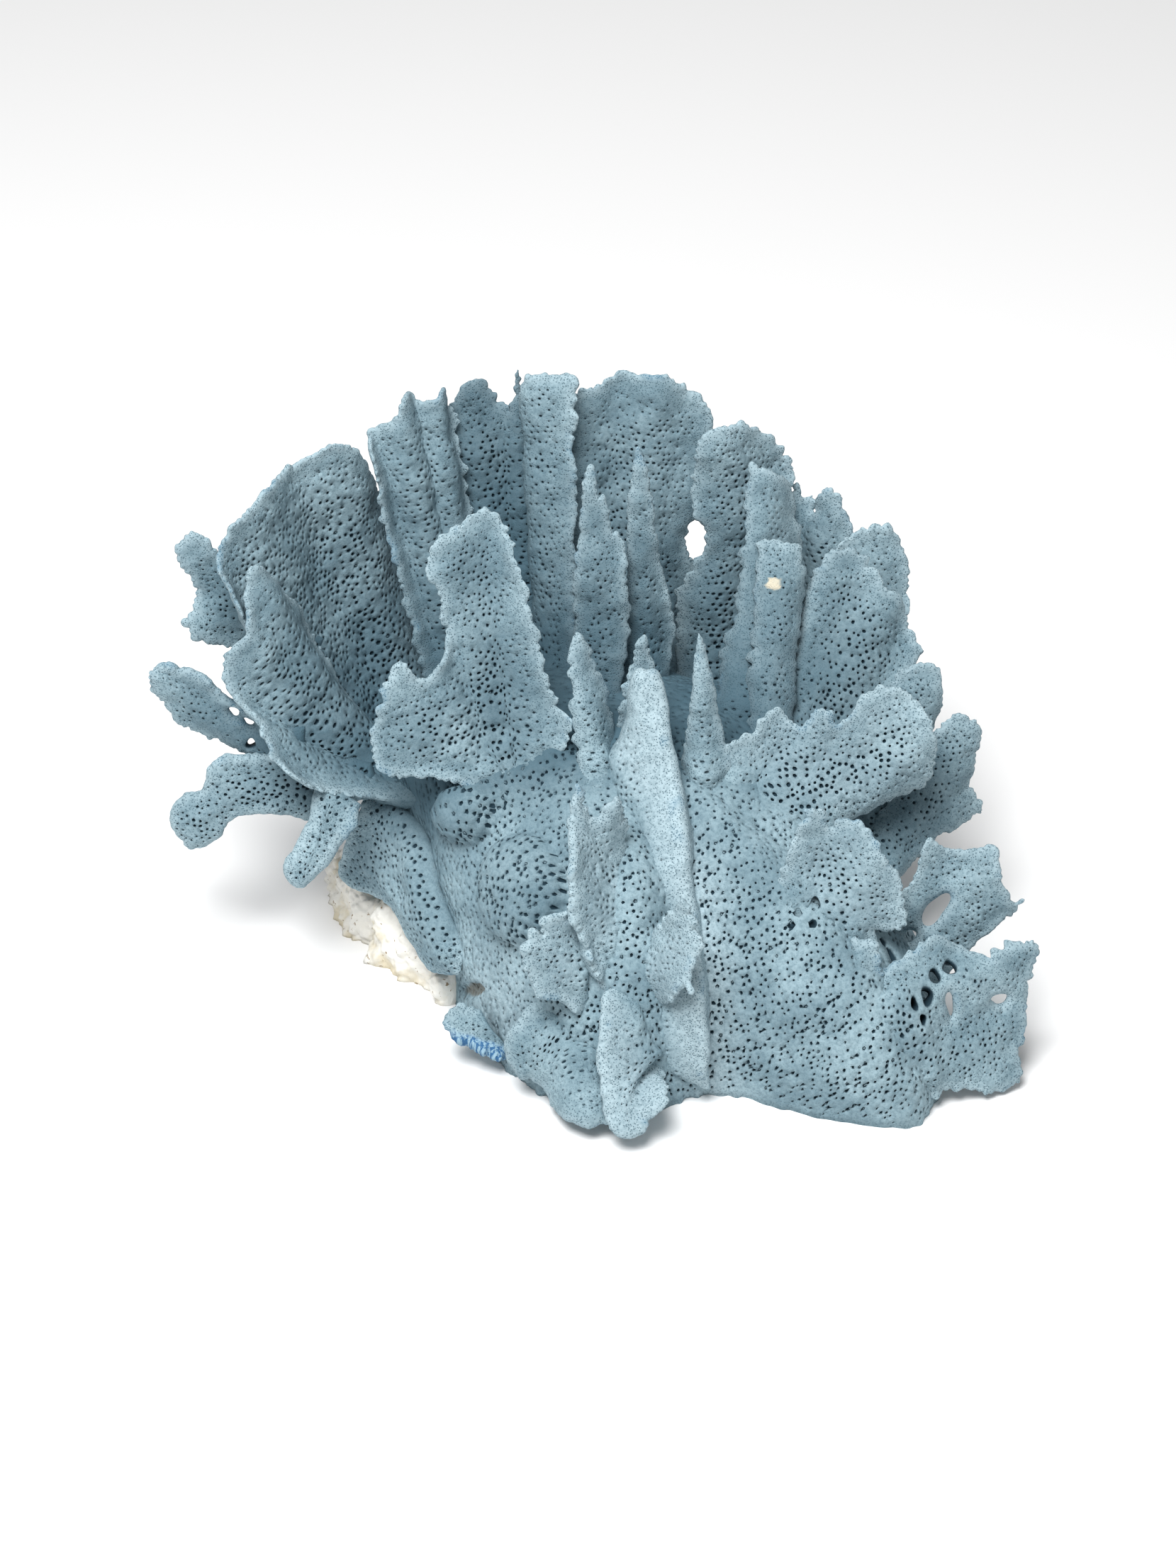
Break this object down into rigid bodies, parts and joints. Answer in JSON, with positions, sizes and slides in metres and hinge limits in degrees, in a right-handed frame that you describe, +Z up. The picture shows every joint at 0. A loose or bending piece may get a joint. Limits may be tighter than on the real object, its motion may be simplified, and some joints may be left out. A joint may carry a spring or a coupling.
{
  "type": "blue ridge coral skeleton",
  "caption": "Dried blue ridge coral skeleton: ridged plates and fingers fan out of one low foot, which is cut flat to stand on a shelf or table.",
  "frame": {"origin": "on the flat cut under the foot, below the middle of the specimen", "axes": "+Z up from the cut, +Y towards the tall plates at the back, +X to the right as seen from the front"},
  "size_m": [0.2493, 0.1795, 0.1527],
  "materials": {
    "blue_skeleton": "dry, chalky, finely pored blue-grey coral skeleton",
    "broken_blue": "fibrous broken coral skeleton with a vivid blue edge",
    "white_crust": "rough chalk-white crust with tan specks"
  },
  "bodies": {
    "root": {"foot_mound": "blue_skeleton", "white_crust": "white_crust", "broken_edge": "broken_blue", "central_ridge": "blue_skeleton", "left_fan": "blue_skeleton", "left_front_lobe": "blue_skeleton", "upper_left_finger": "blue_skeleton", "middle_left_finger": "blue_skeleton", "lower_left_finger": "blue_skeleton", "hanging_left_finger": "blue_skeleton", "back_fan": "blue_skeleton", "back_plate": "blue_skeleton", "ribbed_back_plate": "blue_skeleton", "back_fin": "blue_skeleton", "back_right_plate": "blue_skeleton", "back_right_spikes": "blue_skeleton", "inner_spike": "blue_skeleton", "stepped_inner_plate": "blue_skeleton", "right_plate": "blue_skeleton", "right_plate_lobe": "blue_skeleton", "right_back_lobe": "blue_skeleton", "right_fan": "blue_skeleton", "far_right_upper_lobe": "blue_skeleton", "far_right_lobe": "blue_skeleton", "front_right_fan": "blue_skeleton", "front_spike": "blue_skeleton", "ridge_top_lobe": "blue_skeleton", "ridge_left_lobe": "blue_skeleton", "front_left_blade": "blue_skeleton", "front_blade": "blue_skeleton", "front_low_lobe": "blue_skeleton", "curled_ear": "blue_skeleton", "front_left_foot": "blue_skeleton", "front_foot": "blue_skeleton", "right_front_plate": "blue_skeleton", "right_front_lobe": "blue_skeleton", "right_holed_plate": "blue_skeleton", "low_back_left_plate": "blue_skeleton", "low_back_middle_plate": "blue_skeleton", "low_back_right_plate": "blue_skeleton", "low_right_back_plate": "blue_skeleton", "right_tip_plate": "blue_skeleton"}
  },
  "joints": []
}
